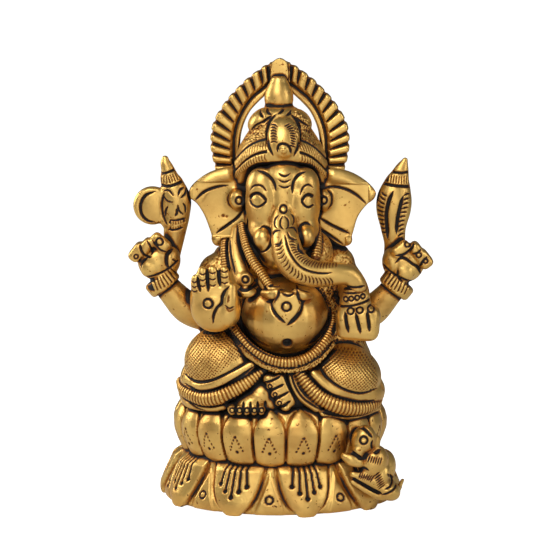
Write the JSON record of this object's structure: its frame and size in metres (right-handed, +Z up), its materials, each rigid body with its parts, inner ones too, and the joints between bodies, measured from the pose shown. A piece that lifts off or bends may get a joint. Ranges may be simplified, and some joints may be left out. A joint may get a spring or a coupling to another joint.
{
  "type": "seated elephant-headed deity statuette",
  "caption": "Small cast brass statuette of a seated, four-armed, elephant-headed deity on a double lotus base, with a mouse at its side, an arched halo and darkened engraving.",
  "frame": {"origin": "on the ground, under the middle of the bounding box of the base", "axes": "+Z up through the halo's point, the figure faces -Y, and its own right hand side is at -X"},
  "size_m": [0.0698, 0.0416, 0.1],
  "materials": {
    "polished_brass": "satin cast brass, hand polished on the high spots, with dark patina left in the chased lines",
    "antique_brass": "cast brass with more of its brown-black antique patina left on"
  },
  "bodies": {
    "root": {"axe_blade": "polished_brass", "axe_shaft": "polished_brass", "belly": "polished_brass", "blessing_hand": "polished_brass", "crown_cap": "polished_brass", "crown_crest": "polished_brass", "crown_finial": "polished_brass", "front_left_arm": "polished_brass", "front_left_bangle": "polished_brass", "front_right_arm": "polished_brass", "giving_hand": "polished_brass", "halo_arch": "polished_brass", "halo_keystone": "polished_brass", "head": "polished_brass", "left_crown_knot": "polished_brass", "left_ear": "polished_brass", "left_ear_stud": "polished_brass", "left_foot": "polished_brass", "left_garland": "polished_brass", "left_hem": "polished_brass", "left_leg": "polished_brass", "left_tusk": "polished_brass", "lotus_plinth": "antique_brass", "lotus_seat": "antique_brass", "mouse_body": "polished_brass", "mouse_head": "polished_brass", "mouse_sweet": "polished_brass", "noose": "polished_brass", "pendant": "polished_brass", "rear_left_arm": "polished_brass", "rear_left_bangle": "polished_brass", "rear_left_hand": "polished_brass", "rear_right_arm": "polished_brass", "rear_right_bangle": "polished_brass", "rear_right_hand": "polished_brass", "right_crown_knot": "polished_brass", "right_ear": "polished_brass", "right_ear_stud": "polished_brass", "right_foot": "polished_brass", "right_garland": "polished_brass", "right_hem": "polished_brass", "right_leg": "polished_brass", "right_tusk": "polished_brass", "shoulder_sash": "antique_brass", "torso": "antique_brass", "trunk": "polished_brass", "waist_belt": "antique_brass"}
  },
  "joints": []
}
